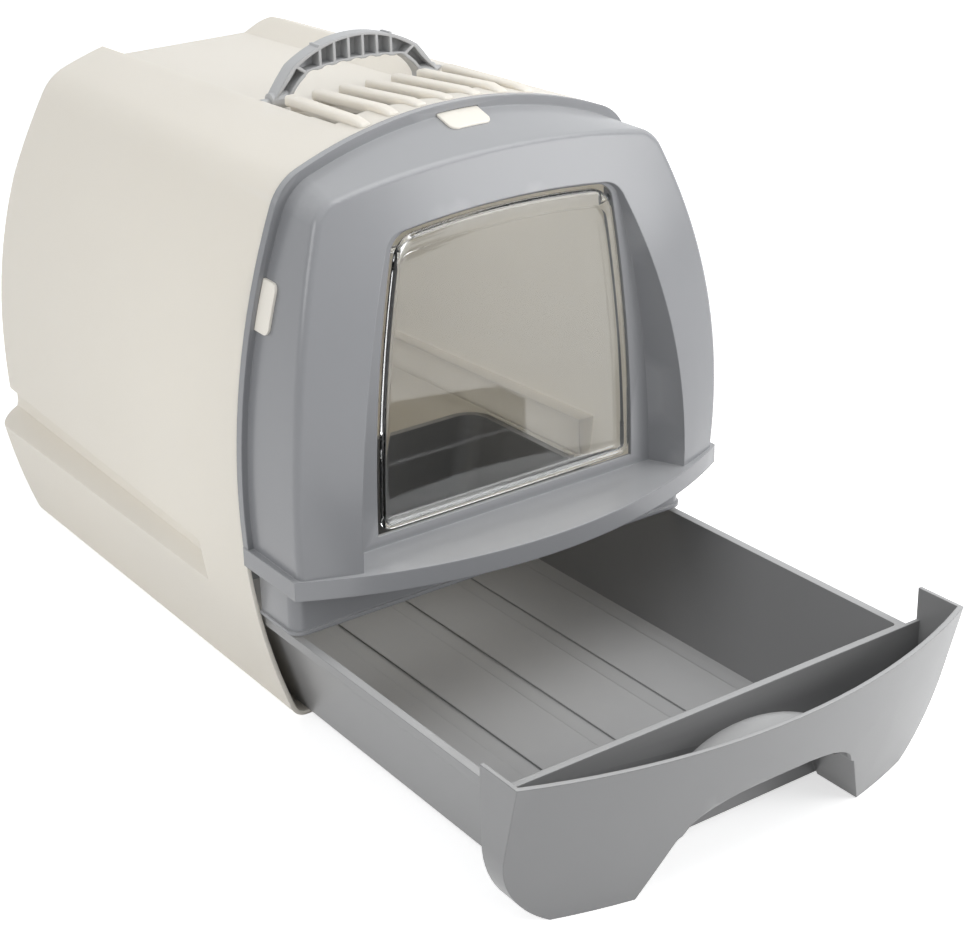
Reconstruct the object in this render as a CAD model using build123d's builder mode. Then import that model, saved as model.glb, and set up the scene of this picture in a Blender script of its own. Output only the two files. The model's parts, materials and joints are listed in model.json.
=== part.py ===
import os
from math import sqrt

from build123d import *

# Covered litter box with a pull-out drawer, in mm: X across, front facing -Y, floor at Z 0.
# The origin is the centre of the housing's underside, and the drawer stands pulled out.
os.makedirs("parts", exist_ok=True)

# Housing: a barrel-shaped tunnel, open at the front and closed at the back
depth = 480.0
wall = 3.0
foot_half = 160.0  # half width on the floor
foot_radius = 14.0
belly_half = 197.0  # widest half width, at the belly height
belly_height = 195.0
corner_half = 150.0  # where the sides and the crown would meet unrounded
crown_height = 457.0
corner_drop = 33.0  # by which those corners lie under the crown
corner_radius = 40.0
collar = 75.0  # length of the untapered front part
hood_taper = 17.0  # by which each side of the hood draws in at the back
hood_rise = 6.0  # by which the crown rises at the back
back_upright = 90.0  # height up to which the back wall is upright
back_knee = 340.0  # height where the back wall starts to slope
back_lean = 32.0
back_slope = 63.0
back_radius = 18.0
knee_radius = 60.0

# Side groove, between the hood and the plinth
groove_top = 133.0
groove_sill = 108.0
plinth_top = 96.5
plinth_shelf = 9.0  # width of the plinth's sloping top
groove_front_depth = 19.0
groove_back_depth = 30.0

# Channel along the top, where the handle folds away, and the vent in front of it
channel_half = 64.0
channel_drop = 21.0  # by which the channel's floor lies under the crown
channel_flare = 56.0  # extra half width of the flared sides at the flare height
channel_flare_rise = 34.0
channel_start = 118.0
ramp_start = 12.0
vent_count = 7
vent_pitch = 24.0
rib_width = 9.0
rib_proud = 3.0
rib_start = 15.0
rib_end = 121.0
vent_start = 30.0
vent_end = 111.0

# Front frame
flange = 7.0
rim_step = 5.0  # by which the surround's foot on the flange lies inside the housing's outline
rim_corner_step = (7.0, 4.0)
rim_crown_step = 8.0
rim_radius = 36.0
ridge_step = 4.0  # the same for the surround's front edge
ridge_corner_step = (0.0, 8.0)
ridge_crown_step = 26.0
ridge_radius = 24.0
ridge_reach = 57.0
surround_end = 92.0  # reach up to which the surround changes shape
face_spare = 8.0  # by which the half width that the face's bow is given over passes the belly
face_foot = (115.0, 62.0)  # reach of the front face at its foot, in the middle and at that half width
face_waist = (101.0, 71.0)  # the same at the waist's height
face_head = (46.0, 30.0)  # and at the crown's height
face_waist_height = 250.0
face_edge_radius = 7.0
frame_wall = 3.0
recess_reach = 62.0
recess_half = 136.0
recess_corner = (100.0, 389.0)
recess_crown = 396.0
recess_radius = 16.0
recess_flare = 25.0  # degrees
opening_half = 118.0
sill_rise = 9.0  # of the opening's sill over the ledge
opening_corner = (96.0, 389.0)
opening_crown = 395.5
opening_radius = 16.0
ledge_height = 157.0
ledge_skirt = 15.0
ledge_inset = 1.0
ledge_corner_reach = 72.0
ledge_bow = 50.0
deflector_inset = 13.0
deflector_reach = 48.0
deflector_bottom = 99.0
deflector_radius = 10.0
deflector_bead = 1.5

# Clear flap
flap_gap = 2.5
flap_wall = 2.5
flap_rim_depth = 8.0
flap_rim_slope = 8.0
hinge_drop = 12.0  # of the hinge under the opening's corners
hinge_reach = 57.0
pin_radius = 2.5
pin_play = 0.05
pin_length = 7.5
lug_thickness = 9.0
lug_height = 13.0

# Snap clips that hold the frame to the housing
clip_length = 36.0
clip_reach = 19.0
clip_thickness = 2.0
clip_tail = 10.0
clip_height = 342.0
clip_play = 0.3
clip_radius = 6.0

# Drawer, in the place where it stands pulled out
drawer_out = 242.0  # travel from shut to the photographed place
tray_floor_inset = 12.0
tray_play = 4.0  # left behind the rim when the drawer is shut
tray_back_draft = 15.0
tray_wall = 2.5
tray_radius = 22.0
tray_front_radius = 6.0
rim_inset = 16.0
rim_overhang = 4.0  # of the rim past the tray's wall
rim_height = 95.0
rim_lip = 8.0
slide_gap = 0.3
front_wall_shut = 45.0  # reach of the front wall when the drawer is shut
floor_pad_count = 4
floor_pad_width = 52.0
floor_pad_pitch = 68.0
floor_pad_height = 1.5
bezel_inset = 2.0
bezel_height = 120.0
bezel_wall = 3.0
bezel_corner_shut = 83.0  # reach of the bezel's top corners when the drawer is shut
bezel_bow = 39.0
bezel_lean = 30.0  # by which the bezel's foot stands behind its top edge
bezel_waist = 62.0  # height where the bezel's sides start to curve in
foot_inner_half = 100.0
foot_inset = 2.0
arch_half = 78.0
arch_spring = 47.0
arch_height = 60.0
pull_half = 76.0
pull_base = 50.0
pull_rise = 48.0
pull_crest = 42.0  # by which the dome's crest lies in front of the front wall
pull_tail = 36.0  # length over which the dome falls off behind its crest
pull_stations = (0.97, 0.9, 0.7, 0.4, 0.0)  # shares of that length where its sections are drawn

# Carry handle, standing up
handle_place = 131.0
handle_half = 76.0
axis_rise = 9.0  # of the handle's axis over the channel's floor
handle_rise = 42.0  # heights of the handle's outline over its axis
shoulder = (57.0, 25.0)
waist = (70.0, 9.0)
handle_inner_half = 60.0
inner_waist = (55.0, 8.0)
inner_shoulder = (42.0, 18.0)
inner_rise = 21.5
handle_depth = 13.0
handle_skin = 2.4
handle_web = 3.0
handle_ribs = 6
handle_rib_pitch = 13.0
cheek_tilt = 55.0  # degrees
scallop_radius = 9.0
scallop_depth = 1.2
handle_pin_radius = 3.0
handle_pin_length = 7.0
socket_radius = 12.0
socket_width = 18.0

# Filter under the vent
filter_half = 84.0
filter_start = 26.0
filter_length = 84.0
filter_height = 10.0
filter_wall = 2.0
filter_drop = 27.0  # of the filter's top under the crown
filter_play = 0.3
hanger_wall = 3.0
hanger_lip = 6.0
filter_slots = 9

# Sizes that follow from the ones above
front = -depth / 2
back = depth / 2
corner_height = crown_height - corner_drop
plinth_edge = belly_half - plinth_shelf
groove_front_half = belly_half - groove_front_depth
groove_back_half = belly_half - groove_back_depth
channel_height = crown_height - channel_drop
rim_belly = belly_half - rim_step
rim_corner = (corner_half - rim_corner_step[0], corner_height - rim_corner_step[1])
rim_crown = crown_height - rim_crown_step
ridge_belly = belly_half - ridge_step
ridge_corner = (corner_half - ridge_corner_step[0], corner_height - ridge_corner_step[1])
ridge_crown = crown_height - ridge_crown_step
face_half = belly_half + face_spare
ledge_half = belly_half - ledge_inset
deflector_half = belly_half - deflector_inset
skirt_bottom = ledge_height - ledge_skirt
opening_sill = ledge_height + sill_rise
hinge_height = opening_corner[1] - hinge_drop
bezel_half = belly_half - bezel_inset
rim_half = belly_half - rim_inset
tray_wall_half = rim_half - rim_overhang
tray_floor_half = foot_half - tray_floor_inset
foot_outer_half = foot_half - foot_inset
front_wall_reach = front_wall_shut + drawer_out
bezel_corner_reach = bezel_corner_shut + drawer_out
tray_length = front_wall_shut + depth - wall - tray_play - rim_overhang
handle_axis = channel_height + axis_rise
handle_top = handle_axis + handle_rise
handle_inner_top = handle_axis + inner_rise
filter_top = crown_height - filter_drop


def station(reach):
    # upright plane that stands the given reach in front of the housing's front edge
    return Plane.XZ.offset(reach - front)


def barrel(reach, belly, corner, crown, radius, skin=0.0):
    # cross-section of the housing or the surround, drawn in by a skin
    side = (belly - skin, belly_height)
    foot = (foot_half - skin, skin)
    shoulder = (corner[0] - skin, corner[1] - skin)
    with BuildSketch(station(reach)) as face:
        with BuildLine():
            for hand in (1, -1):
                start = (hand * side[0], side[1])
                TangentArc(start, (hand * foot[0], foot[1]), tangent=(0, -1))
                TangentArc(start, (hand * shoulder[0], shoulder[1]), tangent=(0, 1))
            ThreePointArc(shoulder, (0, crown - skin), (-shoulder[0], shoulder[1]))
            Line(foot, (-foot[0], foot[1]))
        make_face()
        fillet(face.vertices().sort_by(Axis.Y)[-2:], radius - skin)
        fillet(face.vertices().sort_by(Axis.Y)[:2], foot_radius - skin)
    return face.sketch


def arch(reach, half, sill, corner, crown, radius, skin=0.0):
    # outline of the entrance, with a straight sill, sides that draw in and a bowed top
    shoulder = (corner[0] - skin, corner[1] - skin)
    low = sill + skin
    with BuildSketch(station(reach)) as face:
        with BuildLine():
            for hand in (1, -1):
                TangentArc((hand * (half - skin), low), (hand * shoulder[0], shoulder[1]), tangent=(0, 1))
            ThreePointArc(shoulder, (0, crown - skin), (-shoulder[0], shoulder[1]))
            Line((half - skin, low), (skin - half, low))
        make_face()
        fillet(face.vertices().sort_by(Axis.Y)[-2:], max(radius - skin, 1.0))
    return face.sketch


def housing_section(reach, skin=0.0):
    corner = (corner_half, corner_height)
    return barrel(reach, belly_half, corner, crown_height, corner_radius, skin)


def hood(skin=0.0):
    # the upper body behind the collar, with its sloping back
    tail_corner = (corner_half - hood_taper, corner_height + hood_rise)
    tail_crown = crown_height + hood_rise
    tail = barrel(-depth, belly_half - hood_taper, tail_corner, tail_crown, corner_radius, skin)
    knee = (back - back_lean - skin, back_knee)
    heel = (back - skin, back_upright)
    high = back_knee + foot_half
    with BuildPart() as solid:
        loft([housing_section(-collar, skin), tail])
        with BuildSketch(Plane.YZ) as side_view:
            with BuildLine():
                roof = (knee[0] - back_slope, high)
                Polyline(knee, roof, (front, high), (front, foot_radius), (heel[0], foot_radius), heel)
                TangentArc(heel, knee, tangent=(0, 1))
            make_face()
            fillet(side_view.vertices().sort_by_distance(knee)[:1], knee_radius)
        extrude(amount=2 * belly_half, both=True, mode=Mode.INTERSECT)
        rear_edges = solid.faces().filter_by(lambda face: face.normal_at().Y > 0.7).edges()
        fillet(rear_edges.filter_by(lambda edge: abs(edge.center().X) > belly_half / 3), back_radius - skin)
    return solid.part


def plinth(skin=0.0):
    # the lower body behind the collar, which keeps its full width to the back
    with BuildPart() as solid:
        extrude(housing_section(depth * -1 + skin, skin), amount=depth - collar - skin)
        split(bisect_by=Plane.XY.offset(groove_sill + wall - skin), keep=Keep.BOTTOM)
        upright = solid.edges().filter_by(lambda edge: edge.center().Y > back - 2 * wall)
        fillet(upright.filter_by(lambda edge: abs(edge.center().X) > foot_half), back_radius - skin)
    return solid.part


def groove(grow=0.0):
    # space of the side groove on the right, which deepens toward the back
    with BuildPart() as solid:
        for reach, half in ((grow - collar, groove_front_half), (-depth - 1, groove_back_half)):
            with BuildSketch(station(reach)):
                with BuildLine():
                    Polyline(
                        (belly_half + wall + 1, groove_top + grow),
                        (half - grow, groove_top + grow),
                        (half - grow, groove_sill - grow),
                        (plinth_edge, plinth_top - grow),
                        (belly_half + wall + 1, plinth_top - grow),
                        close=True,
                    )
                make_face()
        loft()
    return solid.part


def channel(grow=0.0):
    # space over the top channel and the vent ramp
    low = channel_height - grow
    flare = channel_flare / channel_flare_rise
    high = channel_height + channel_flare_rise
    ramp_drop = crown_height - channel_height
    with BuildPart() as solid:
        with BuildSketch(station(0)):
            with BuildLine():
                half = channel_half + grow
                top_half = channel_half + grow + channel_flare + grow * flare
                Polyline((half, low), (top_half, high), (-top_half, high), (-half, low), close=True)
            make_face()
        extrude(amount=-depth - wall)
        with BuildSketch(Plane.YZ):
            with BuildLine():
                Polyline(
                    (front + ramp_start, low + ramp_drop),
                    (front + channel_start, low),
                    (back + wall, low),
                    (back + wall, high + 1),
                    (front + ramp_start, high + 1),
                    close=True,
                )
            make_face()
        extrude(amount=belly_half, both=True, mode=Mode.INTERSECT)
    return solid.part


def crown_at(x):
    # height of the crown arc over a place across the housing
    sagitta = crown_height - corner_height
    radius = (corner_half**2 + sagitta**2) / (2 * sagitta)
    return crown_height - radius + sqrt(radius**2 - x**2)


def roof_at(x, place):
    # height of the top over a place across and a distance behind the front edge
    ramp = crown_height - (place - ramp_start) * ramp_slope
    return min(crown_at(x), max(ramp, channel_height))


ramp_slope = (crown_height - channel_height) / (channel_start - ramp_start)
outer_hood = hood()
inner_hood = hood(wall)
outer_plinth = plinth()
inner_plinth = plinth(wall)
groove_space = groove()
groove_cover = groove(wall)
channel_space = channel()
channel_cover = channel(wall)
vent_gaps = [(place - vent_count / 2) * vent_pitch for place in range(vent_count + 1)]
vent_ribs = [(place - (vent_count - 1) / 2) * vent_pitch for place in range(vent_count)]
axle_y = front + handle_place

with BuildPart() as cavity:
    add(inner_hood)
    add(inner_plinth)
    extrude(housing_section(1, wall), amount=-collar - 1)
    add(groove_cover, mode=Mode.SUBTRACT)
    add(mirror(groove_cover, about=Plane.YZ), mode=Mode.SUBTRACT)
    add(channel_cover, mode=Mode.SUBTRACT)

with BuildPart() as housing:
    add(outer_hood)
    add(outer_plinth)
    extrude(housing_section(0), amount=-collar)
    add(groove_space, mode=Mode.SUBTRACT)
    add(mirror(groove_space, about=Plane.YZ), mode=Mode.SUBTRACT)
    add(cavity.part, mode=Mode.SUBTRACT)
    # blocks in the channel's sides that carry the handle's pivots
    for hand in (1, -1):
        with Locations((hand * handle_half, axle_y, handle_axis - socket_radius)):
            Box(2 * handle_depth, 2 * socket_radius + 2 * wall, 2 * socket_radius)
    add(channel_space, mode=Mode.SUBTRACT)
    for hand in (1, -1):
        with Locations((hand * (handle_half + slide_gap - socket_width / 2), axle_y, handle_axis)):
            Cylinder(socket_radius, socket_width, rotation=(0, 90, 0), mode=Mode.SUBTRACT)
        with Locations((hand * handle_half, axle_y, handle_axis)):
            pivot_span = 2 * (handle_pin_length + slide_gap)
            Cylinder(handle_pin_radius + pin_play, pivot_span, rotation=(0, 90, 0), mode=Mode.SUBTRACT)
    # vent slots and the ribs that stand proud between them
    for x in vent_gaps:
        outermost = abs(x) > vent_pitch * (vent_count - 1) / 2
        gap = rib_width / 2 if outermost else vent_pitch - rib_width
        shift = (rib_width + gap - vent_pitch) / 2 if outermost else 0.0
        slot_x = x + (shift if x > 0 else -shift)
        with Locations((slot_x, front + (vent_start + vent_end) / 2, crown_height)):
            Box(gap, vent_end - vent_start, 2 * channel_flare_rise, mode=Mode.SUBTRACT)
    for x in vent_ribs:
        bend = ramp_start + (crown_height - crown_at(x)) / ramp_slope
        nose = rib_start + 2 * rib_proud
        stations = [nose, max(bend, nose + 1), channel_start, rib_end]
        with BuildSketch(Plane.YZ.offset(x)):
            with BuildLine():
                Polyline(
                    (front + rib_start, roof_at(x, rib_start)),
                    *[(front + place, roof_at(x, place) + rib_proud) for place in stations],
                    *[(front + place, roof_at(x, place) - wall) for place in reversed(stations)],
                    close=True,
                )
            make_face()
        extrude(amount=rib_width / 2, both=True)
    # hangers under the crown for the filter tray
    hanger_y = front + filter_start + filter_length / 2
    hanger_x = filter_half + filter_play + hanger_wall / 2
    hanger_foot = filter_top - filter_height - filter_play - filter_wall
    hanger_top = crown_at(hanger_x) - wall / 2
    for hand in (1, -1):
        with Locations((hand * hanger_x, hanger_y, (hanger_top + hanger_foot) / 2)):
            Box(hanger_wall, filter_length, hanger_top - hanger_foot)
        with Locations((hand * (hanger_x - hanger_lip / 2), hanger_y, hanger_foot + filter_wall / 2)):
            Box(hanger_lip + hanger_wall, filter_length, filter_wall)
housing.part.label = "housing"
export_step(housing.part, "parts/housing.step")


def surround_at(reach, skin=0.0):
    # outline of the raised surround, which changes evenly from rim to ridge
    share = (reach - flange) / (ridge_reach - flange)
    corner = [start + share * (end - start) for start, end in zip(rim_corner, ridge_corner)]
    belly = rim_belly + share * (ridge_belly - rim_belly)
    crown = rim_crown + share * (ridge_crown - rim_crown)
    radius = rim_radius + share * (ridge_radius - rim_radius)
    return barrel(reach, belly, corner, crown, radius, skin)


def bulge(skin=0.0, tail=0.0):
    # raised surround, from behind the flange to the bowed front face that leans back
    far = front - 2 * surround_end
    foot_height = skirt_bottom - ledge_skirt
    sections = ((foot_height, face_foot), (face_waist_height, face_waist), (crown_height, face_head))
    with BuildPart() as cut:
        for height, (middle, edge) in sections:
            edge_y = front - edge + skin
            with BuildSketch(Plane.XY.offset(height)):
                with BuildLine():
                    Polyline((-face_half, edge_y), (-face_half, far), (face_half, far), (face_half, edge_y))
                    ThreePointArc((face_half, edge_y), (0, front - middle + skin), (-face_half, edge_y))
                make_face()
        loft()
    with BuildPart() as solid:
        extrude(surround_at(flange, skin), amount=-flange - tail)
        loft([surround_at(flange, skin), surround_at(surround_end, skin)])
        extrude(surround_at(surround_end, skin), amount=surround_end)
        add(cut.part, mode=Mode.SUBTRACT)
    return solid.part


def recess(reach, skin=0.0):
    # space of the recess in front of the flap, which opens out toward the front
    outline = arch(reach, recess_half, ledge_height, recess_corner, recess_crown, recess_radius, skin)
    with BuildPart() as solid:
        extrude(outline, amount=ridge_reach, taper=-recess_flare)
        split(bisect_by=Plane.XY.offset(ledge_height + skin), keep=Keep.TOP)
    return solid.part


def ledge(skin=0.0):
    # bowed threshold under the entrance
    half = ledge_half - skin
    corner_y = front - ledge_corner_reach + skin
    with BuildPart() as solid:
        with BuildSketch(Plane.XY.offset(ledge_height - skin)):
            with BuildLine():
                Polyline((-half, corner_y), (-half, front), (half, front), (half, corner_y))
                ThreePointArc((half, corner_y), (0, corner_y - ledge_bow), (-half, corner_y))
            make_face()
        extrude(amount=-ledge_skirt)
    return solid.part


def apron(bead, rise):
    # litter deflector under the ledge, or the bead along its foot, a U seen from above
    with BuildPart() as solid:
        with BuildSketch(Plane.XY.offset(deflector_bottom)):
            for skin, mode in ((-bead, Mode.ADD), (frame_wall + bead, Mode.SUBTRACT)):
                width = 2 * (deflector_half - skin)
                length = 2 * (deflector_reach - skin)
                with Locations((0, front)):
                    RectangleRounded(width, length, deflector_radius - skin, mode=mode)
        extrude(amount=rise)
        split(bisect_by=station(0), keep=Keep.TOP)
    return solid.part


def opening_at(height):
    # half width of the entrance at a height
    rise = opening_corner[1] - opening_sill
    run = opening_half - opening_corner[0]
    radius = (rise**2 + run**2) / (2 * run)
    return opening_half - radius + sqrt(radius**2 - (height - opening_sill) ** 2)


def clip_blank(hand, grow=0.0):
    # one tongue on the surround: hand 0 is on top, 1 and -1 are at the sides
    length = clip_length + 2 * grow
    span = clip_reach + flange + clip_tail + 2 * grow
    middle = front - clip_reach - flange + span / 2 - grow
    with BuildPart() as solid:
        add(bulge(-clip_thickness - grow, clip_tail + grow))
        add(bulge(0, clip_tail + 2 * clip_play), mode=Mode.SUBTRACT)
        with BuildSketch(Plane.YZ if hand else Plane.XY) as outline:
            with Locations((middle, clip_height) if hand else (0, middle)):
                if hand:
                    Rectangle(span, length)
                else:
                    Rectangle(length, span)
            along = Axis.X if hand else Axis.Y
            fillet(outline.vertices().sort_by(along)[:2], clip_radius)
        extrude(amount=(hand or 1) * 2 * crown_height, mode=Mode.INTERSECT)
    return solid.part


surround = bulge()
surround_space = bulge(frame_wall)
recess_space = recess(recess_reach)
recess_cover = recess(recess_reach - frame_wall, -frame_wall)
ledge_block = ledge()
ledge_space = ledge(frame_wall)
hinge_y = front - hinge_reach
hinge_half = opening_at(hinge_height)
clip_hands = {"clip_top": 0, "clip_right": 1, "clip_left": -1}
clip_slots = [clip_blank(hand, clip_play) for hand in clip_hands.values()]

with BuildPart() as hollow:
    add(surround_space)
    split(bisect_by=Plane.XY.offset(skirt_bottom - 1), keep=Keep.TOP)
    add(ledge_space)
    add(recess_cover, mode=Mode.SUBTRACT)

with BuildPart() as front_frame:
    add(surround)
    split(bisect_by=Plane.XY.offset(ledge_height - frame_wall), keep=Keep.TOP)
    face_edges = front_frame.faces().sort_by(Axis.Y)[0].edges()
    fillet(face_edges.filter_by(lambda edge: edge.center().Z > ledge_height), face_edge_radius)
    add(ledge_block)
    extrude(housing_section(0), amount=flange)
    split(bisect_by=Plane.XY.offset(skirt_bottom), keep=Keep.TOP)
    add(hollow.part, mode=Mode.SUBTRACT)
    add(recess_space, mode=Mode.SUBTRACT)
    # bearing lugs for the flap behind the entrance's top corners
    for hand in (1, -1):
        with Locations((hand * (hinge_half + lug_thickness / 2), hinge_y, hinge_height)):
            Box(lug_thickness, 2 * (recess_reach - hinge_reach), lug_height)
    entrance = arch(0, opening_half, opening_sill, opening_corner, opening_crown, opening_radius)
    extrude(entrance, amount=2 * recess_reach, mode=Mode.SUBTRACT)
    for hand in (1, -1):
        with Locations((hand * hinge_half, hinge_y, hinge_height)):
            Cylinder(pin_radius + pin_play, 2 * pin_length, rotation=(0, 90, 0), mode=Mode.SUBTRACT)
    add(apron(0, ledge_height - deflector_bottom))
    add(apron(deflector_bead, 2 * deflector_bead))
    # shelf that carries the deflector
    shelf_length = recess_reach - deflector_reach + frame_wall
    with Locations((0, front - recess_reach + shelf_length / 2, ledge_height - frame_wall / 2)):
        Box(2 * deflector_half, shelf_length, frame_wall)
    for slot in clip_slots:
        add(slot, mode=Mode.SUBTRACT)
front_frame.part.label = "front_frame"
export_step(front_frame.part, "parts/front_frame.step")


def flap_outline(reach, skin):
    total = flap_gap + skin
    return arch(reach, opening_half, opening_sill, opening_corner, opening_crown, opening_radius, total)


# clear flap: a shallow dish with a sloped rim, hung on two pins
flap_back = hinge_reach - flap_wall / 2
flap_front = flap_back + flap_rim_depth
with BuildPart() as flap:
    loft([flap_outline(flap_back, flap_rim_slope), flap_outline(flap_front, 0)])
    floor_outline = flap_outline(flap_back + flap_wall, flap_rim_slope + flap_wall / 2)
    loft([floor_outline, flap_outline(flap_front, flap_wall)], mode=Mode.SUBTRACT)
    for hand in (1, -1):
        pin_start = hinge_half - flap_gap - flap_rim_slope - flap_wall / 2
        pin_end = hinge_half + pin_length - flap_wall / 2
        with Locations((hand * (pin_start + pin_end) / 2, hinge_y, hinge_height)):
            Cylinder(pin_radius, pin_end - pin_start, rotation=(0, 90, 0))
flap.part.label = "flap"
export_step(flap.part, "parts/flap.step")

for name, hand in clip_hands.items():
    with BuildPart() as clip:
        add(clip_blank(hand))
    clip.part.label = name
    export_step(clip.part, f"parts/{name}.step")


def basin(skin=0.0):
    # tray of the drawer, with drafted sides and back
    near = front - front_wall_reach + skin
    low = wall + slide_gap + skin
    sizes = ((low, tray_floor_half, tray_back_draft), (rim_height, tray_wall_half, 0.0))
    with BuildPart() as solid:
        for height, half, draft in sizes:
            length = tray_length - draft - 2 * skin
            with BuildSketch(Plane.XY.offset(height)) as outline:
                with Locations((0, near + length / 2)):
                    Rectangle(2 * (half - skin), length)
                fillet(outline.vertices().sort_by(Axis.Y)[-2:], tray_radius - skin)
                fillet(outline.vertices().sort_by(Axis.Y)[:2], tray_front_radius - skin)
        loft()
        if skin:
            extrude(solid.faces().sort_by(Axis.Z)[-1], amount=skin)
    return solid.part


def bezel_block(skin=0.0):
    # space inside the bowed front as seen from above, leaning back toward the foot
    half = bezel_half - skin
    with BuildPart() as solid:
        for height in (slide_gap, bezel_height + 2 * skin):
            lean = bezel_lean * (1 - height / bezel_height)
            corner_y = front - bezel_corner_reach + lean + skin
            back_y = front - front_wall_reach - skin
            with BuildSketch(Plane.XY.offset(height)):
                with BuildLine():
                    Polyline((-half, corner_y), (-half, back_y), (half, back_y), (half, corner_y))
                    ThreePointArc((half, corner_y), (0, corner_y - bezel_bow), (-half, corner_y))
                make_face()
        loft()
    return solid.part


def bezel_outline(skin=0.0):
    # the front seen from the front, with its two feet and the arch between them
    high = bezel_height + 3 * skin
    with BuildPart() as solid:
        with BuildSketch(station(front_wall_reach - bezel_wall)) as face:
            with BuildLine():
                for hand in (1, -1):
                    waist = (hand * bezel_half, bezel_waist)
                    toe = (hand * foot_outer_half, slide_gap)
                    heel = (hand * foot_inner_half, slide_gap)
                    Line((hand * bezel_half, high), waist)
                    TangentArc(waist, toe, tangent=(0, -1))
                    Polyline(toe, heel, (hand * arch_half, arch_spring))
                ThreePointArc((arch_half, arch_spring), (0, arch_height), (-arch_half, arch_spring))
                Line((bezel_half, high), (-bezel_half, high))
            make_face()
            fillet(face.vertices().filter_by(lambda v: abs(v.X) < foot_inner_half), face_edge_radius)
            if skin:
                offset(amount=-skin, kind=Kind.INTERSECTION, mode=Mode.REPLACE)
        extrude(amount=bezel_corner_reach)
    return solid.part


def dome_section(reach, share, skin):
    # upper half of an ellipse, a share of the dome's full size
    with BuildSketch(station(reach)) as face:
        with Locations((0, pull_base)):
            Ellipse(share * (pull_half - skin), share * (pull_rise - skin))
            half_plane = (Align.CENTER, Align.MIN)
            Rectangle(2 * pull_half, pull_rise, align=half_plane, mode=Mode.INTERSECT)
    return face.sketch


def pull_space(skin=0.0):
    # domed hollow over the arch, where fingers pull the drawer
    crest = front_wall_reach + pull_crest
    tail = [share * (pull_tail - skin) for share in pull_stations]
    with BuildPart() as solid:
        loft([dome_section(crest - behind, sqrt(1 - share**2), skin) for behind, share in zip(tail, pull_stations)])
        extrude(dome_section(crest, 1, skin), amount=bezel_corner_reach + bezel_bow - crest)
    return solid.part


front_block = bezel_block()
front_space = bezel_block(bezel_wall)
front_outline = bezel_outline()
front_outline_space = bezel_outline(bezel_wall)
basin_block = basin()
basin_space = basin(tray_wall)

with BuildPart() as bezel:
    add(front_block)
    add(front_outline, mode=Mode.INTERSECT)

with BuildPart() as pocket:
    add(front_space)
    add(front_outline_space, mode=Mode.INTERSECT)
    add(pull_space(), mode=Mode.SUBTRACT)

with BuildPart() as finger_hollow:
    add(pull_space(bezel_wall))
    add(front_space, mode=Mode.INTERSECT)

with BuildPart() as drawer:
    # rolled rim with its lip, round the sides and back
    for skin, top, mode in ((0, rim_height, Mode.ADD), (tray_wall, rim_height - tray_wall, Mode.SUBTRACT)):
        with BuildSketch(Plane.XY.offset(top)) as rim:
            length = tray_length + rim_overhang - skin
            with Locations((0, front - front_wall_reach + length / 2)):
                Rectangle(2 * (rim_half - skin), length)
            fillet(rim.vertices().sort_by(Axis.Y)[-2:], tray_radius + rim_overhang - skin)
        extrude(amount=-rim_lip, mode=mode)
    add(bezel.part)
    add(pocket.part, mode=Mode.SUBTRACT)
    # the wall between the pocket and the tray is no higher than the rim
    with Locations((0, front - front_wall_reach, rim_height + bezel_height / 2)):
        Box(2 * (bezel_half - bezel_wall), 4 * bezel_wall, bezel_height, mode=Mode.SUBTRACT)
    add(finger_hollow.part, mode=Mode.SUBTRACT)
    add(basin_block)
    add(basin_space, mode=Mode.SUBTRACT)
    # raised strips along the tray's floor
    for place in range(floor_pad_count):
        x = (place - (floor_pad_count - 1) / 2) * floor_pad_pitch
        pad_length = tray_length - tray_back_draft - 2 * tray_radius
        pad_z = wall + slide_gap + tray_wall + floor_pad_height / 2
        with Locations((x, front - front_wall_reach + tray_wall + pad_length / 2, pad_z)):
            Box(floor_pad_width, pad_length, floor_pad_height)
drawer.part.label = "drawer"
export_step(drawer.part, "parts/drawer.step")

def grip_outline(skin=0.0):
    # the handle's arched outline, drawn in by a skin
    with BuildSketch(station(handle_depth / 2 - handle_place)) as face:
        with BuildLine():
            for hand in (1, -1):
                outer = [(handle_half, 0.0), waist, shoulder]
                inner = [(handle_inner_half, 0.0), inner_waist, inner_shoulder]
                lifts = (skin, -skin / 2, -skin)
                outer = [(hand * (x - skin), handle_axis + z + lift) for (x, z), lift in zip(outer, lifts)]
                lifts = (skin, skin / 2, skin)
                inner = [(hand * (x + skin), handle_axis + z + lift) for (x, z), lift in zip(inner, lifts)]
                ThreePointArc(*outer)
                ThreePointArc(*inner)
                Line(outer[0], inner[0])
            for near, top in ((outer[2], handle_top - skin), (inner[2], handle_inner_top + skin)):
                ThreePointArc(near, (0, top), (-near[0], near[1]))
        make_face()
    return face.sketch


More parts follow.
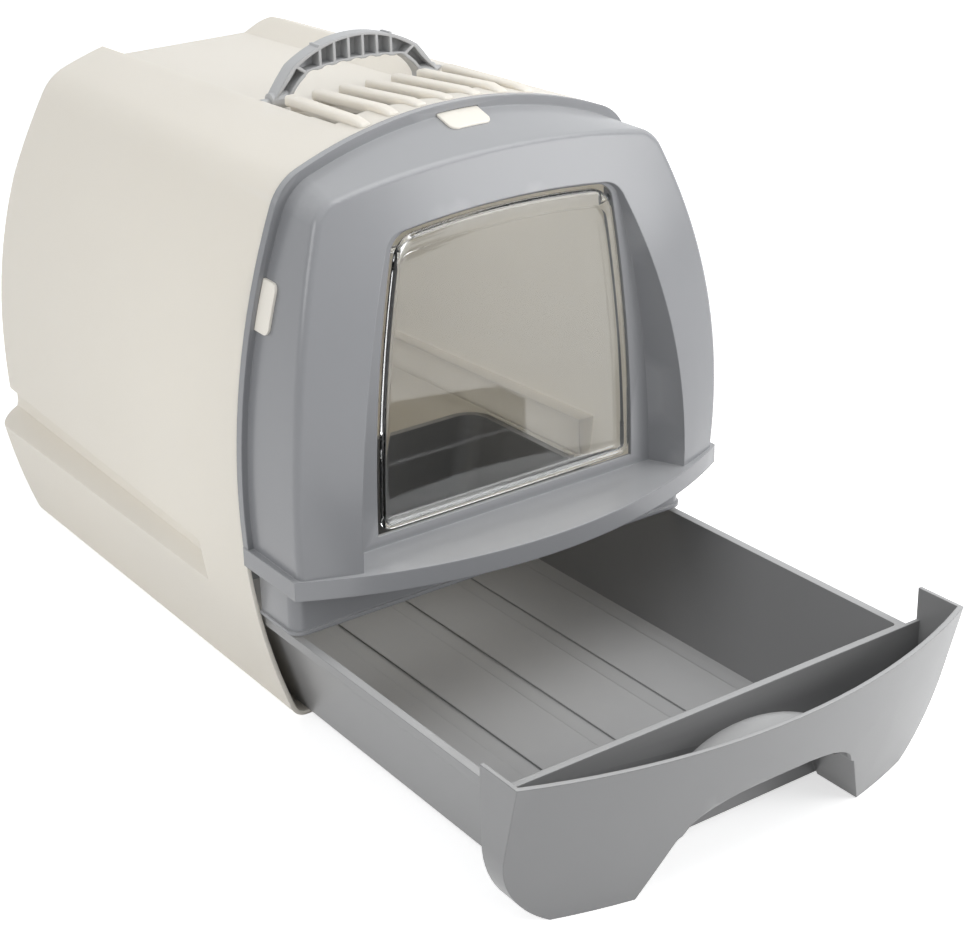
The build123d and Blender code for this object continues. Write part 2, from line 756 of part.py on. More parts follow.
with BuildPart() as handle:
    extrude(grip_outline(), amount=-handle_depth)
    extrude(grip_outline(handle_skin), amount=handle_web - handle_depth, mode=Mode.SUBTRACT)
    # ribs that divide the hollow grip, and finger scallops under it
    grip_middle = (handle_top + handle_inner_top) / 2
    grip_rise = handle_top - handle_inner_top - handle_skin
    for place in range(handle_ribs):
        x = (place - (handle_ribs - 1) / 2) * handle_rib_pitch
        sag = 2 * handle_skin * (x / inner_shoulder[0]) ** 2
        with Locations((x, axle_y, grip_middle - sag)):
            Box(handle_skin, handle_depth, grip_rise)
    cheek = ((shoulder[0] + inner_shoulder[0]) / 2, handle_axis + (shoulder[1] + inner_shoulder[1]) / 2)
    for hand in (1, -1):
        with Locations((hand * cheek[0], axle_y, cheek[1])):
            Box(handle_skin, handle_depth, handle_depth, rotation=(0, hand * cheek_tilt, 0))
        with Locations((hand * (handle_half + handle_inner_half) / 2, axle_y, handle_axis)):
            Cylinder(handle_depth / 2, handle_half - handle_inner_half, rotation=(0, 90, 0))
        with Locations((hand * (handle_half + handle_pin_length / 2), axle_y, handle_axis)):
            Cylinder(handle_pin_radius, handle_pin_length, rotation=(0, 90, 0))
    for place in range(handle_ribs + 1):
        x = (place - handle_ribs / 2) * handle_rib_pitch
        sag = (inner_rise - inner_shoulder[1]) * (x / inner_shoulder[0]) ** 2
        with Locations((x, axle_y, handle_inner_top - sag - scallop_radius + scallop_depth)):
            Cylinder(scallop_radius, 2 * handle_depth, rotation=(90, 0, 0), mode=Mode.SUBTRACT)
handle.part.label = "handle"
export_step(handle.part, "parts/handle.step")

filter_middle = (0, front + filter_start + filter_length / 2)
filter_bottom = filter_top - filter_height
with BuildPart() as filter_tray:
    with Locations((*filter_middle, filter_bottom + filter_height / 2)):
        Box(2 * filter_half, filter_length, filter_height)
    with Locations((*filter_middle, filter_bottom + filter_wall + filter_height / 2)):
        inner_half = filter_half - filter_wall
        Box(2 * inner_half, filter_length - 2 * filter_wall, filter_height, mode=Mode.SUBTRACT)
    slot_pitch = 2 * inner_half / filter_slots
    with Locations((*filter_middle, filter_bottom)):
        with GridLocations(slot_pitch, 0, filter_slots, 1):
            Box(slot_pitch / 2, filter_length - 6 * filter_wall, 3 * filter_wall, mode=Mode.SUBTRACT)
filter_tray.part.label = "filter_tray"
export_step(filter_tray.part, "parts/filter_tray.step")

with BuildPart() as filter_pad:
    pad_low = filter_bottom + filter_wall + filter_play
    pad_high = filter_top - filter_play
    pad_inset = filter_wall + filter_play
    with Locations((*filter_middle, (pad_low + pad_high) / 2)):
        Box(2 * (filter_half - pad_inset), filter_length - 2 * pad_inset, pad_high - pad_low)
filter_pad.part.label = "filter_pad"
export_step(filter_pad.part, "parts/filter_pad.step")
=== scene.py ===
import json
import math

import bpy
from mathutils import Matrix, Vector

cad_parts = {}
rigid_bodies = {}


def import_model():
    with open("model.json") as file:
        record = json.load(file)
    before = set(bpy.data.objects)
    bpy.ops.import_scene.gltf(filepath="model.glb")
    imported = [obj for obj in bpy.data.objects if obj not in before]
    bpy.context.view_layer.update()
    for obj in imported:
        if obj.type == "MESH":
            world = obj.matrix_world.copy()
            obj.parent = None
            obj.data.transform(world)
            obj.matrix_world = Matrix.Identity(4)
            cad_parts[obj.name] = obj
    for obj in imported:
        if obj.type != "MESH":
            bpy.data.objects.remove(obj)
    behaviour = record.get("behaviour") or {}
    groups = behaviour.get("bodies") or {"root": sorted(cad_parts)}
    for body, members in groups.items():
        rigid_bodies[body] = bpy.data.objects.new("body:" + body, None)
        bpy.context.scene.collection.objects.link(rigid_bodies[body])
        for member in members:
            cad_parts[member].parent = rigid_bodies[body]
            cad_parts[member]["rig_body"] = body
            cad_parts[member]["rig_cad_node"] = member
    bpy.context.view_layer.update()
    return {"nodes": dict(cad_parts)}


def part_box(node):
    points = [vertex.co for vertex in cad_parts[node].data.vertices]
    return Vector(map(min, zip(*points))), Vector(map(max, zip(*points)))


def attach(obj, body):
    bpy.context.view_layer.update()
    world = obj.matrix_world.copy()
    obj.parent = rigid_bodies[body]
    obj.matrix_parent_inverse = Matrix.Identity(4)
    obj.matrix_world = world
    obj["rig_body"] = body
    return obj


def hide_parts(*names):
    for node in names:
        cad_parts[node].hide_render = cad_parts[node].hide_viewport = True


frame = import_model()
nodes = frame["nodes"]
print("frame loaded")

camera = {
    "place": (-0.8158, -1.3892, 0.7996),
    "yaw": 29.97,  # degrees from +Y toward +X
    "pitch": 21.48,  # degrees downward
    "roll": -3.43,
    "lens": 74.06,
    "sensor": 36.0,
    "shift": (0.2055, -0.0854),
    "far": 60.0,
}

studio = {
    "floorSize": 40.0,
    "floorColour": (0.86, 0.86, 0.86, 1.0),
    "floorRoughness": 0.9,
    "floorShine": 0.1,
    "floorLift": 0.62,  # light that only the camera and reflections see on the floor
    "skyColour": (0.97, 0.985, 1.0, 1.0),
    "skyLevel": 0.5,
    "glossLevel": 1.1,  # the sky in reflections
    "seenLevel": 1.0,  # the sky as the camera sees it, also through the flap
    "lamps": {
        "overhead": {
            "place": (0.9, -0.9, 2.4),
            "target": (0, -0.4, 0.2),
            "size": 1.8,
            "watts": 27,
        },
        "left": {
            "place": (-2.6, -0.5, 1.5),
            "target": (0, -0.1, 0.2),
            "size": 1.4,
            "watts": 22,
        },
        "frontRight": {
            "place": (1.9, -2.5, 1.1),
            "target": (0, -0.3, 0.2),
            "size": 1.6,
            "watts": 44,
        },
        "throughShell": {  # what the thin shell lets into the box
            "place": (0, -0.05, 0.41),
            "target": (0, -0.1, 0),
            "size": 0.12,
            "watts": 0.12,
        },
    },
}


def deselectAll():
    for item in bpy.context.selected_objects:
        item.select_set(False)


def activate(item):
    deselectAll()
    item.select_set(True)
    bpy.context.view_layer.objects.active = item


def applyModifier(item, name, kind, settings):
    modifier = item.modifiers.new(name, kind)
    for key, value in settings.items():
        setattr(modifier, key, value)
    bpy.ops.object.modifier_apply(modifier=name)


def smooth(item, angle):
    bpy.ops.object.shade_smooth_by_angle(angle=math.radians(angle))
    applyModifier(item, "evenShade", "WEIGHTED_NORMAL", {"keep_sharp": True})  # calm large faces


def addCamera():
    yaw, pitch, roll = (math.radians(camera[key]) for key in ("yaw", "pitch", "roll"))
    level = math.cos(pitch)
    ahead = Vector((math.sin(yaw) * level, math.cos(yaw) * level, -math.sin(pitch)))
    right = ahead.cross(Vector((0, 0, 1))).normalized()
    up = right.cross(ahead)
    across = right * math.cos(roll) + up * math.sin(roll)
    upward = up * math.cos(roll) - right * math.sin(roll)
    data = bpy.data.cameras.new("camera")
    data.lens = camera["lens"]
    data.sensor_width = camera["sensor"]
    data.sensor_fit = "HORIZONTAL"
    data.shift_x, data.shift_y = camera["shift"]
    data.clip_end = camera["far"]
    eye = bpy.data.objects.new("camera", data)
    turn = Matrix((across, upward, -ahead)).transposed().to_4x4()
    eye.matrix_world = Matrix.Translation(camera["place"]) @ turn
    bpy.context.scene.collection.objects.link(eye)
    bpy.context.scene.camera = eye


def addLamp(name, look):
    data = bpy.data.lights.new(name, "AREA")
    data.shape = "SQUARE"
    data.size = look["size"]
    data.energy = look["watts"]
    lamp = bpy.data.objects.new(name, data)
    aim = (Vector(look["target"]) - Vector(look["place"])).to_track_quat("-Z", "Y")
    lamp.matrix_world = Matrix.Translation(look["place"]) @ aim.to_matrix().to_4x4()
    bpy.context.scene.collection.objects.link(lamp)


def feed(tree, source, socket):
    # a socket takes either a link or a plain value
    if isinstance(source, bpy.types.NodeSocket):
        tree.links.new(source, socket)
    else:
        socket.default_value = source


def calculate(tree, operation, first, second):
    node = tree.nodes.new("ShaderNodeMath")
    node.operation = operation
    feed(tree, first, node.inputs[0])
    feed(tree, second, node.inputs[1])
    return node.outputs[0]


def rescale(tree, source, ends):
    node = tree.nodes.new("ShaderNodeMapRange")
    for socket, value in ends.items():
        node.inputs[socket].default_value = value
    tree.links.new(source, node.inputs["Value"])
    return node.outputs[0]


def mixLevels(tree, share, first, second):
    node = tree.nodes.new("ShaderNodeMix")
    for source, place in ((share, 0), (first, 2), (second, 3)):
        feed(tree, source, node.inputs[place])
    return node.outputs[0]


def mixColours(tree, share, first, second):
    node = tree.nodes.new("ShaderNodeMix")
    node.data_type = "RGBA"
    for source, place in ((share, 0), (first, 6), (second, 7)):
        feed(tree, source, node.inputs[place])
    return node.outputs[2]


def anyRay(tree, kinds):
    # one for rays of any of these kinds, else zero
    path = tree.nodes.new("ShaderNodeLightPath")
    found = path.outputs[kinds[0]]
    for kind in kinds[1:]:
        found = calculate(tree, "MAXIMUM", found, path.outputs[kind])
    return found


def nodeMaterial(name):
    material = bpy.data.materials.new(name)
    material.use_nodes = True
    tree = material.node_tree
    return material, tree, tree.nodes["Principled BSDF"]


def addSky():
    world = bpy.data.worlds.new("studioWorld")
    bpy.context.scene.world = world
    world.use_nodes = True
    tree = world.node_tree
    sky = tree.nodes["Background"]
    sky.inputs["Color"].default_value = studio["skyColour"]
    glossy = anyRay(tree, ["Is Glossy Ray"])
    unseen = mixLevels(tree, glossy, studio["skyLevel"], studio["glossLevel"])
    seen = anyRay(tree, ["Is Camera Ray", "Is Transmission Ray"])
    feed(tree, mixLevels(tree, seen, unseen, studio["seenLevel"]), sky.inputs["Strength"])


def addFloor():
    deselectAll()
    bpy.ops.mesh.primitive_plane_add(size=studio["floorSize"])
    floor = bpy.context.object
    floor.name = "floor"
    material, tree, paint = nodeMaterial("floorPaint")
    paint.inputs["Base Color"].default_value = studio["floorColour"]
    paint.inputs["Roughness"].default_value = studio["floorRoughness"]
    paint.inputs["Specular IOR Level"].default_value = studio["floorShine"]
    paint.inputs["Emission Color"].default_value = (1, 1, 1, 1)
    seen = anyRay(tree, ["Is Camera Ray", "Is Glossy Ray", "Is Transmission Ray"])
    lift = calculate(tree, "MULTIPLY", seen, studio["floorLift"])
    tree.links.new(lift, paint.inputs["Emission Strength"])
    floor.data.materials.append(material)


addCamera()
addSky()
addFloor()
for name, look in studio["lamps"].items():
    addLamp(name, look)
bpy.context.scene.view_settings.view_transform = "Standard"
print("studio ready")

mouldingLook = {
    "cloudScale": 7.0,
    "cloudDetail": 4.0,
    "speckScale": 60.0,
    "speckDetail": 6.0,
    "dustAndTopLightFacing": {"From Min": 0.35, "From Max": 1.0},  # dust and painted top light lie only on what faces up
    "dustAndTopLightEvenness": {"To Min": 0.9},
    "rubbedEdge": {"From Min": 0.53, "From Max": 0.62},
    "grainDetail": 3.0,
    "grainRoughness": 0.6,
    "inputs": [
        ("Color", "Color", (0.5, 0.5, 0.5, 1)),
        ("Tint", "Color", (0.5, 0.5, 0.5, 1)),
        ("Dust And Lit Tone", "Color", (0.8, 0.8, 0.78, 1)),
        ("Dust And Top Light Amount", "Float", 0.05),
        ("Drift", "Float", 0.5),
        ("Roughness", "Float", 0.4),
        ("Roughness Spread", "Float", 0.08),
        ("Grain Size", "Float", 900.0),
        ("Wear", "Float", 0.2),
    ],
    "outputs": [("Color", "Color"), ("Roughness", "Float"), ("Height", "Float")],
}


def addSockets(group, inputs, outputs):
    for name, kind, value in inputs:
        kind = "NodeSocket" + kind
        socket = group.interface.new_socket(name, in_out="INPUT", socket_type=kind)
        socket.default_value = value
    for name, kind in outputs:
        group.interface.new_socket(name, in_out="OUTPUT", socket_type="NodeSocket" + kind)
    give = group.nodes.new("NodeGroupInput").outputs
    take = group.nodes.new("NodeGroupOutput").inputs
    return give, take


def noise(tree, place, scale, detail):
    node = tree.nodes.new("ShaderNodeTexNoise")
    tree.links.new(place, node.inputs["Vector"])
    feed(tree, scale, node.inputs["Scale"])
    node.inputs["Detail"].default_value = detail
    return node


def moulding(look):
    # grain of a moulding tool, slow drift of the colour, dust and painted top light on what faces
    # up, rubbed edges
    group = bpy.data.node_groups.new("moulding", "ShaderNodeTree")
    give, take = addSockets(group, look["inputs"], look["outputs"])
    place = group.nodes.new("ShaderNodeTexCoord").outputs["Object"]
    cloud = noise(group, place, look["cloudScale"], look["cloudDetail"]).outputs["Fac"]
    drift = calculate(group, "MULTIPLY", cloud, give["Drift"])
    tinted = mixColours(group, drift, give["Color"], give["Tint"])

    surface = group.nodes.new("ShaderNodeNewGeometry").outputs
    facing = group.nodes.new("ShaderNodeSeparateXYZ")
    group.links.new(surface["Normal"], facing.inputs[0])
    speck = noise(group, place, look["speckScale"], look["speckDetail"]).outputs["Fac"]
    # painted top light as well as dust: faces that point up are mixed toward the pale dust tone,
    # mottled by the specks
    upwardFacing = rescale(group, facing.outputs["Z"], look["dustAndTopLightFacing"])
    evenly = rescale(group, speck, look["dustAndTopLightEvenness"])
    dustAndTopLightMask = calculate(group, "MULTIPLY", upwardFacing, evenly)
    dustAndTopLight = calculate(group, "MULTIPLY", dustAndTopLightMask, give["Dust And Top Light Amount"])
    dustedAndTopLit = mixColours(group, dustAndTopLight, tinted, give["Dust And Lit Tone"])

    edge = rescale(group, surface["Pointiness"], look["rubbedEdge"])
    rubbed = calculate(group, "MULTIPLY", edge, give["Wear"])
    group.links.new(mixColours(group, rubbed, dustedAndTopLit, give["Dust And Lit Tone"]), take["Color"])

    spread = calculate(group, "MULTIPLY", cloud, give["Roughness Spread"])
    group.links.new(calculate(group, "ADD", spread, give["Roughness"]), take["Roughness"])

    grain = noise(group, place, give["Grain Size"], look["grainDetail"])
    grain.inputs["Roughness"].default_value = look["grainRoughness"]
    group.links.new(grain.outputs["Fac"], take["Height"])
    return group


mouldingGroup = moulding(mouldingLook)


def addRelief(tree, paint, height, strength, depth):
    relief = tree.nodes.new("ShaderNodeBump")
    relief.inputs["Strength"].default_value = strength
    relief.inputs["Distance"].default_value = depth
    tree.links.new(height, relief.inputs["Height"])
    tree.links.new(relief.outputs[0], paint.inputs["Normal"])
    return relief


def plastic(name, look):
    material, tree, paint = nodeMaterial(name)
    effect = tree.nodes.new("ShaderNodeGroup")
    effect.node_tree = mouldingGroup
    for socket, value in look["effect"].items():
        effect.inputs[socket].default_value = value
    relief = addRelief(tree, paint, effect.outputs["Height"], look["grainStrength"], 0.0002)
    softEdge = tree.nodes.new("ShaderNodeBevel")  # moulded edges catch the light
    softEdge.samples = 6
    softEdge.inputs["Radius"].default_value = look["softEdge"]
    tree.links.new(softEdge.outputs[0], relief.inputs["Normal"])
    tree.links.new(effect.outputs["Color"], paint.inputs["Base Color"])
    tree.links.new(effect.outputs["Roughness"], paint.inputs["Roughness"])
    paint.inputs["Specular IOR Level"].default_value = look["specular"]
    if "glow" in look:  # thin pale plastic lets some light through
        paint.inputs["Subsurface Weight"].default_value = look["glow"]
        paint.inputs["Subsurface Radius"].default_value = look["glowRadius"]
        paint.inputs["Subsurface Scale"].default_value = look["glowDepth"]
    return material


creamShell = plastic(
    "creamShell",
    {
        "effect": {
            "Color": (0.83, 0.775, 0.685, 1),
            "Tint": (0.80, 0.745, 0.65, 1),
            "Dust And Lit Tone": (0.84, 0.82, 0.78, 1),
            "Dust And Top Light Amount": 0.08,
            "Roughness": 0.5,
            "Grain Size": 1300.0,
        },
        "grainStrength": 0.06,
        "softEdge": 0.0012,
        "specular": 0.35,
        "glow": 0.6,
        "glowRadius": (0.95, 0.95, 0.95),
        "glowDepth": 0.01,
    },
)
greyFrame = plastic(
    "greyFrame",
    {
        "effect": {
            "Color": (0.242, 0.246, 0.257, 1),
            "Tint": (0.234, 0.238, 0.25, 1),
            # painted top light as well as dust: faces that point up are mixed strongly toward this
            # pale grey
            "Dust And Lit Tone": (0.5, 0.505, 0.515, 1),
            "Dust And Top Light Amount": 0.5,
            "Roughness": 0.2,
            "Grain Size": 1800.0,
        },
        "grainStrength": 0.12,
        "softEdge": 0.0014,
        "specular": 0.5,
    },
)
greyDrawer = plastic(
    "greyDrawer",
    {
        "effect": {
            "Color": (0.236, 0.236, 0.238, 1),
            "Tint": (0.226, 0.226, 0.229, 1),
            # painted top light as well as dust: faces that point up are mixed strongly toward this
            # pale grey
            "Dust And Lit Tone": (0.5, 0.5, 0.5, 1),
            "Dust And Top Light Amount": 0.8,
            "Roughness": 0.28,
            "Grain Size": 1500.0,
        },
        "grainStrength": 0.2,
        "softEdge": 0.0014,
        "specular": 0.45,
    },
)
greyHandle = plastic(
    "greyHandle",
    {
        "effect": {
            "Color": (0.48, 0.485, 0.49, 1),
            "Tint": (0.45, 0.455, 0.46, 1),
            "Dust And Lit Tone": (0.5, 0.5, 0.5, 1),
            "Dust And Top Light Amount": 0.05,
            "Roughness": 0.38,
            "Grain Size": 1600.0,
        },
        "grainStrength": 0.2,
        "softEdge": 0.0014,
        "specular": 0.4,
    },
)
creamClip = plastic(
    "creamClip",
    {
        "effect": {
            "Color": (0.87, 0.83, 0.75, 1),
            "Tint": (0.84, 0.80, 0.72, 1),
            "Dust And Lit Tone": (0.88, 0.87, 0.84, 1),
            "Dust And Top Light Amount": 0.05,
            "Roughness": 0.36,
            "Grain Size": 2000.0,
        },
        "grainStrength": 0.1,
        "softEdge": 0.0009,
        "specular": 0.45,
    },
)


def clearPlastic(name, look):
    material, tree, paint = nodeMaterial(name)
    paint.inputs["Base Color"].default_value = look["colour"]
    paint.inputs["Roughness"].default_value = look["roughness"]
    paint.inputs["IOR"].default_value = look["ior"]
    paint.inputs["Transmission Weight"].default_value = 1.0
    place = tree.nodes.new("ShaderNodeTexCoord").outputs["Object"]
    haze = noise(tree, place, look["waveScale"], look["waveDetail"])
    addRelief(tree, paint, haze.outputs["Fac"], look["waviness"], look["waveDepth"])
    falling = anyRay(tree, ["Is Shadow Ray", "Is Diffuse Ray"])  # light falls through into the box
    clearPath = tree.nodes.new("ShaderNodeBsdfTransparent")
    clearPath.inputs["Color"].default_value = look["colour"]
    either = tree.nodes.new("ShaderNodeMixShader")
    tree.links.new(falling, either.inputs[0])
    tree.links.new(paint.outputs[0], either.inputs[1])
    tree.links.new(clearPath.outputs[0], either.inputs[2])
    tree.links.new(either.outputs[0], tree.nodes["Material Output"].inputs["Surface"])
    return material


clearFlap = clearPlastic(
    "clearFlap",
    {
        "colour": (0.97, 0.98, 0.98, 1),
        "roughness": 0.02,
        "ior": 1.49,
        "waviness": 0.05,
        "waveDepth": 0.001,
        "waveScale": 22.0,
        "waveDetail": 2.0,
    },
)


def foam(name, look):
    # open pores, with painted shade darkening their depth
    material, tree, paint = nodeMaterial(name)
    paint.inputs["Roughness"].default_value = look["roughness"]
    paint.inputs["Specular IOR Level"].default_value = look["specular"]
    pores = tree.nodes.new("ShaderNodeTexVoronoi")
    pores.inputs["Scale"].default_value = look["poreScale"]
    place = tree.nodes.new("ShaderNodeTexCoord").outputs["Object"]
    tree.links.new(place, pores.inputs["Vector"])
    shade = rescale(tree, pores.outputs["Distance"], look["poreShade"])
    feed(tree, mixColours(tree, shade, look["poreShadeColour"], look["colour"]), paint.inputs["Base Color"])
    addRelief(tree, paint, shade, look["poreStrength"], look["poreDepth"])
    return material


charcoalFoam = foam(
    "charcoalFoam",
    {
        "colour": (0.075, 0.075, 0.08, 1),
        # painted shade: the colour at the bottom of the pores
        "poreShadeColour": (0.02, 0.02, 0.022, 1),
        "roughness": 0.95,
        "specular": 0.15,
        "poreScale": 520.0,
        "poreShade": {"To Min": 1.0, "To Max": 0.25},
        "poreStrength": 0.8,
        "poreDepth": 0.0006,
    },
)
print("finishes ready")


def addBlock(name, spans):
    # box between two corners, as a start for a moulded shape
    (left, right), (near, far), (low, high) = spans
    middle = ((left + right) / 2, (near + far) / 2, (low + high) / 2)
    deselectAll()
    bpy.ops.mesh.primitive_cube_add(size=1, location=middle)
    block = bpy.context.object
    block.name = name
    block.data.name = name
    bpy.ops.object.mode_set(mode="EDIT")
    bpy.ops.mesh.select_all(action="SELECT")
    bpy.ops.transform.resize(value=(right - left, far - near, high - low))
    bpy.ops.object.mode_set(mode="OBJECT")
    bpy.ops.object.transform_apply(location=True, rotation=True, scale=True)
    return block


def mergedCopy(nodeName, look):
    # CAD mesh as one closed surface, with its flat faces whole
    activate(nodes[nodeName])
    bpy.ops.object.duplicate()
    piece = bpy.context.object
    piece.name = nodeName + "Moulding"
    piece.data.name = piece.name
    piece.parent = None
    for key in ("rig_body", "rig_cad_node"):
        del piece[key]
    bpy.ops.mesh.customdata_custom_splitnormals_clear()
    bpy.ops.object.mode_set(mode="EDIT")
    bpy.ops.mesh.select_all(action="SELECT")
    bpy.ops.mesh.remove_doubles(threshold=look["mergeReach"])
    bpy.ops.mesh.dissolve_limited(angle_limit=math.radians(look["flatAngle"]))
    bpy.ops.object.mode_set(mode="OBJECT")
    return piece


def raiseArch(piece, look):
    # the finger arch is opened upward into the hollow behind the drawer's front
    across = (-look["half"], look["half"])
    cutter = addBlock("archCutter", (across, look["depth"], (look["foot"], look["spring"])))
    activate(cutter)
    bpy.ops.object.mode_set(mode="EDIT")
    bpy.ops.mesh.select_all(action="SELECT")
    bpy.ops.mesh.subdivide(number_cuts=look["cuts"])
    bpy.ops.object.mode_set(mode="OBJECT")
    for vertex in cutter.data.vertices:
        level = (vertex.co.z - look["foot"]) / (look["spring"] - look["foot"])
        share = max(1 - abs(vertex.co.x / look["half"]) ** look["shoulder"], 0)
        vertex.co.z += level * share ** look["roundness"] * look["rise"]
    activate(piece)
    applyModifier(piece, "arch", "BOOLEAN", {"operation": "DIFFERENCE", "object": cutter})
    bpy.data.objects.remove(cutter)


fingerArch = {
    "half": 0.0752,
    "depth": (-0.625, -0.570),  # from in front of the drawer's front to behind its skin
    "foot": 0.03,
    "spring": 0.0478,
    "rise": 0.0252,
    "shoulder": 2.6,
    "roundness": 0.6,
    "cuts": 31,
}
moulded = {
    "mergeReach": 1e-5,
    "flatAngle": 0.05,
    "sharpAngle": 28.0,
    "smoothAngle": 40.0,
    "edgeRadius": 0.0009,
    "segments": 2,
}
for nodeName, body, slot, material in (
    ("housing", "cabinet", "cream_shell", creamShell),
    ("front_frame", "cabinet", "grey_frame", greyFrame),
    ("drawer", "pull_out", "grey_drawer", greyDrawer),
    ("handle", "carrier", "grey_handle", greyHandle),
    ("clip_left", "cabinet", "cream_clip", creamClip),
    ("clip_right", "cabinet", "cream_clip", creamClip),
    ("clip_top", "cabinet", "cream_clip", creamClip),
    ("filter_tray", "cabinet", "cream_clip", creamClip),
):
    piece = mergedCopy(nodeName, moulded)
    if nodeName == "drawer":
        raiseArch(piece, fingerArch)
    rounding = {
        "width": moulded["edgeRadius"],
        "segments": moulded["segments"],
        "limit_method": "ANGLE",
        "angle_limit": math.radians(moulded["sharpAngle"]),
    }
    applyModifier(piece, "rounding", "BEVEL", rounding)
    smooth(piece, moulded["smoothAngle"])
    piece.data.materials.clear()
    piece.data.materials.append(material)
    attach(piece, body)
    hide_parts(nodeName)
    print(nodeName, "finished,", len(piece.data.polygons), "faces")


def crownAt(x, look):
    # height of the housing's crown over a place across it
    sag = look["crown"] - look["cornerHeight"]
    radius = (look["cornerHalf"] ** 2 + sag**2) / (2 * sag)
    return look["crown"] - radius + math.sqrt(radius**2 - x**2)


def ventBar(x, look):
    # rounded bar that rises from the crown and runs over the vent, on a thin web
    start, bend, end = (look["front"] + look[key] for key in ("start", "bend", "end"))
    crown = crownAt(x, look)
    across = (x - look["half"], x + look["half"])
    tops = {
        start: crown + look["nose"],
        bend: min(crown, look["bendTop"]) + look["proud"],
        end: look["tip"],
    }
    bar = addBlock("ventFinger", (across, (start, end), (0, look["thickness"])))
    activate(bar)
    bpy.ops.object.mode_set(mode="EDIT")
    bpy.ops.mesh.select_all(action="SELECT")
    bpy.ops.mesh.bisect(plane_co=(0, bend, 0), plane_no=(0, 1, 0))
    bpy.ops.object.mode_set(mode="OBJECT")
    for vertex in bar.data.vertices:
        station = min(tops, key=lambda y: abs(y - vertex.co.y))
        vertex.co.z += tops[station] - look["thickness"]
    rounding = {"width": look["radius"], "segments": look["segments"]}
    applyModifier(bar, "rounding", "BEVEL", rounding)

    webEnd = end - look["overhang"]
    across = (x - look["webHalf"], x + look["webHalf"])
    web = addBlock("ventWeb", (across, (start, webEnd), (0, 1)))
    for vertex in web.data.vertices:
        atFront = vertex.co.y < (start + webEnd) / 2
        top, foot = (crown, crown) if atFront else (look["tip"], look["floor"])
        isTop = vertex.co.z > 0.5
        vertex.co.z = top - look["thickness"] / 2 if isTop else foot - look["thickness"]
    return [bar, web]


def ventGrille(look):
    shapes = []
    for place in range(look["count"]):
        shapes += ventBar((place - (look["count"] - 1) / 2) * look["pitch"], look)
    deselectAll()
    for shape in shapes:
        shape.select_set(True)
    bpy.context.view_layer.objects.active = shapes[0]
    bpy.ops.object.join()
    grille = bpy.context.object
    grille.name = "ventGrille"
    grille.data.name = "ventGrille"
    bpy.ops.object.shade_smooth_by_angle(angle=math.radians(look["smoothAngle"]))
    grille.data.materials.append(creamShell)
    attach(grille, "cabinet")


ventGrille(
    {
        "count": 7,
        "pitch": 0.024,
        "half": 0.0048,
        "thickness": 0.0085,
        "radius": 0.0024,
        "segments": 4,
        "front": -0.24,
        "start": 0.002,
        "bend": 0.017,
        "end": 0.108,
        "overhang": 0.006,
        "webHalf": 0.0022,
        "nose": 0.0018,  # by which a bar's front end stands over the crown
        "bendTop": 0.4548,
        "proud": 0.0046,  # by which a bar stands over the crown at its bend
        "tip": 0.4545,
        "floor": 0.443,
        "crown": 0.457,
        "cornerHeight": 0.424,
        "cornerHalf": 0.15,
        "smoothAngle": 40.0,
    }
)
print("vent bars set")


def archDistance(x, z, look, drop):
    # how far a place lies outside the flap's outline, below zero inside it
    rise, run = look["corner"][1] - look["sill"], look["half"] - look["corner"][0]
    sideRadius = (rise**2 + run**2) / (2 * run)
    fromMiddle = abs(x) - (look["half"] - sideRadius)
    side = math.hypot(fromMiddle, max(z - look["sill"], 0)) - sideRadius
    sag = look["crown"] - look["corner"][1]
    crownRadius = (look["corner"][0] ** 2 + sag**2) / (2 * sag)
    top = math.hypot(x, z - (look["crown"] - drop - crownRadius)) - crownRadius
    if z > look["middle"]:
        level, rounding = top, look["topRadius"]
    else:
        level, rounding = look["sill"] - z, look["footRadius"]
    corner = math.hypot(max(rounding + side, 0), max(rounding + level, 0))
    return min(-rounding, max(side, level)) + corner


def archPoint(turn, inset, look):
    # place on the outline, drawn in by an inset, in a direction from the flap's middle
    drop = look["topBand"] * min(inset / look["bandInset"], 1.0)
    near, far = 0.0, look["farthest"]
    for _ in range(look["halvings"]):
        reach = (near + far) / 2
        x, z = reach * math.sin(turn), look["middle"] + reach * math.cos(turn)
        inside = archDistance(x, z, look, drop) < -inset
        near, far = (reach, far) if inside else (near, reach)
    return x, z


def addPin(door, hand, look):
    deselectAll()
    bpy.ops.mesh.primitive_cylinder_add(
        vertices=look["pinSides"],
        radius=look["pinRadius"],
        depth=look["pin"][1] - look["pin"][0],
        location=(hand * (look["pin"][0] + look["pin"][1]) / 2, *look["hinge"]),
        rotation=(0, math.pi / 2, 0),
    )
    pin = bpy.context.object
    bpy.ops.object.transform_apply(location=True, rotation=True, scale=True)
    activate(door)
    applyModifier(door, "pin", "BOOLEAN", {"operation": "UNION", "object": pin})
    bpy.data.objects.remove(pin)


def clearDoor(look):
    # clear dish with a solid rounded bead along its edge, in one moulding with two pins
    deselectAll()
    around = look["around"]
    bpy.ops.mesh.primitive_circle_add(vertices=around, radius=0.1, fill_type="NGON")
    door = bpy.context.object
    door.name = "flapMoulding"
    door.data.name = door.name
    for ring, (inset, depth) in enumerate(look["section"]):
        if ring:
            bpy.ops.object.mode_set(mode="EDIT")
            bpy.ops.mesh.extrude_region_move()
            bpy.ops.object.mode_set(mode="OBJECT")
        moved = [vertex for vertex in door.data.vertices if vertex.select]
        for place, vertex in enumerate(moved):
            x, z = archPoint(2 * math.pi * place / around, inset, look)
            vertex.co = (x, look["front"] + depth, z)
    bpy.ops.object.mode_set(mode="EDIT")
    bpy.ops.mesh.select_all(action="SELECT")
    bpy.ops.mesh.normals_make_consistent(inside=False)
    bpy.ops.object.mode_set(mode="OBJECT")
    for hand in (1, -1):
        addPin(door, hand, look)
    smooth(door, look["smoothAngle"])
    door.data.materials.append(clearFlap)
    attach(door, "door")
    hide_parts("flap")
    return door


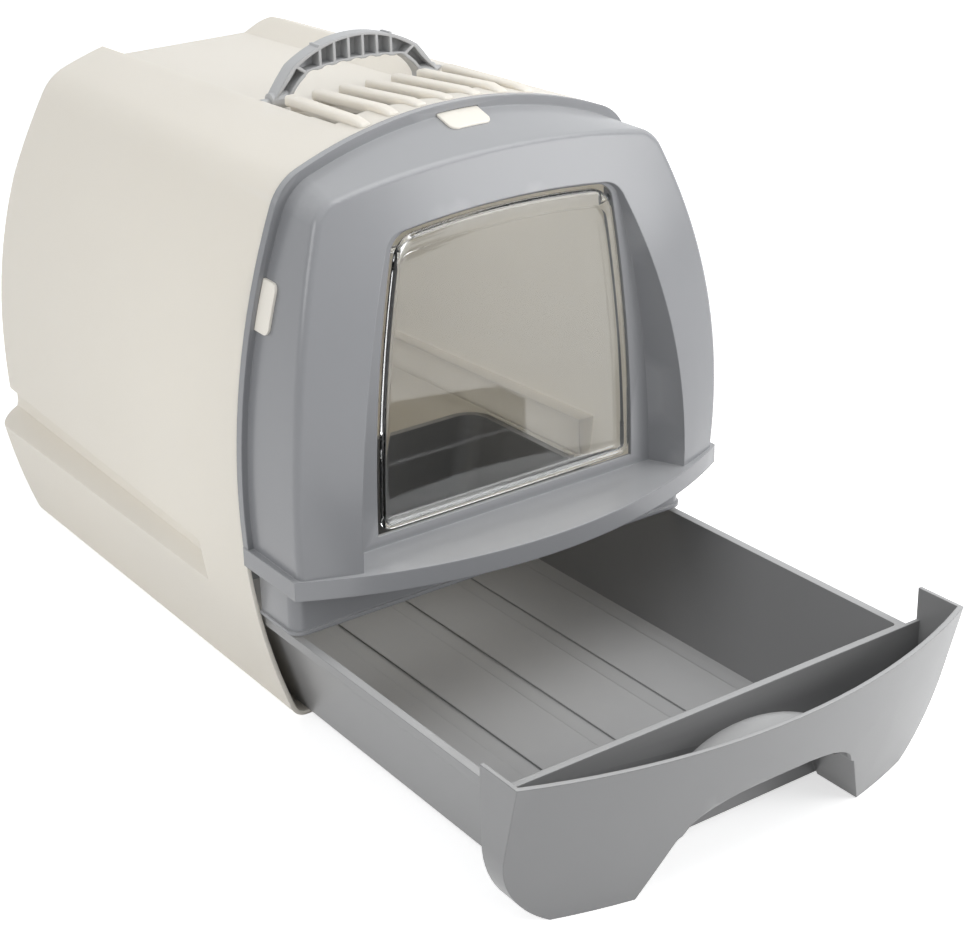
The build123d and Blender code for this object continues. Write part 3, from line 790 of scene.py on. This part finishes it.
flapLow, flapHigh = (Vector(corner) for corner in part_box("flap"))
door = clearDoor(
    {
        "around": 288,
        "half": 0.1155,
        "sill": 0.1685,
        "corner": (0.0935, 0.3865),
        "crown": 0.393,
        "middle": 0.28,
        "farthest": 0.3,
        "halvings": 40,
        "topRadius": 0.0135,
        "footRadius": 0.009,
        "topBand": 0.0135,  # by which the pane's top stands lower than an even rim would leave it
        "bandInset": 0.009,
        "front": flapLow.y,
        # inset from the outline and depth behind the front, from the pane's back round the bead
        "section": (
            (0.0100, 0.0080),
            (0.0078, 0.0078),
            (0.0058, 0.0071),
            (0.0040, 0.0060),
            (0.0024, 0.0049),
            (0.0008, 0.0040),
            (0.0001, 0.0028),
            (0.0004, 0.0014),
            (0.0014, 0.0004),
            (0.0028, 0.0000),
            (0.0042, 0.0004),
            (0.0052, 0.0013),
            (0.0057, 0.0026),
            (0.0063, 0.0038),
            (0.0074, 0.0048),
            (0.0090, 0.0054),
            (0.0110, 0.0055),
        ),
        "hinge": (-0.297, 0.377),
        "pin": (0.089, flapHigh.x),
        "pinRadius": 0.0025,
        "pinSides": 32,
        "smoothAngle": 50.0,
    }
)
print("flap formed,", len(door.data.polygons), "faces")


def foamPad(nodeName, look):
    # a cut foam slab that stands a little fuller in its middle
    low, high = (Vector(corner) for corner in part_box(nodeName))
    middle = (low + high) / 2
    reach = (high - low) / 2 - Vector((look["give"], look["give"], look["crown"]))
    deselectAll()
    bpy.ops.mesh.primitive_cube_add(size=2)
    pad = bpy.context.object
    pad.name = nodeName + "Foam"
    pad.data.name = pad.name
    bpy.ops.object.mode_set(mode="EDIT")
    bpy.ops.mesh.select_all(action="SELECT")
    bpy.ops.transform.resize(value=reach)
    bpy.ops.mesh.subdivide(number_cuts=look["cuts"])
    bpy.ops.object.mode_set(mode="OBJECT")
    for vertex in pad.data.vertices:
        across = (vertex.co.x / reach.x) ** 2
        along = (vertex.co.y / reach.y) ** 2
        vertex.co.z += math.copysign(look["crown"] * (1 - across) * (1 - along), vertex.co.z)
        vertex.co += middle
    cutEdges = {
        "width": look["edgeRadius"],
        "segments": look["segments"],
        "limit_method": "ANGLE",
    }
    applyModifier(pad, "cutEdges", "BEVEL", cutEdges)
    bpy.ops.object.shade_smooth_by_angle(angle=math.radians(look["smoothAngle"]))
    pad.data.materials.append(charcoalFoam)
    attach(pad, "cabinet")
    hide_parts(nodeName)


foamPad(
    "filter_pad",
    {
        "give": 0.0005,
        "crown": 0.0006,
        "cuts": 20,
        "edgeRadius": 0.0011,
        "segments": 3,
        "smoothAngle": 40.0,
        "fill": 0.8,
    },
)
print("filter pad cut")
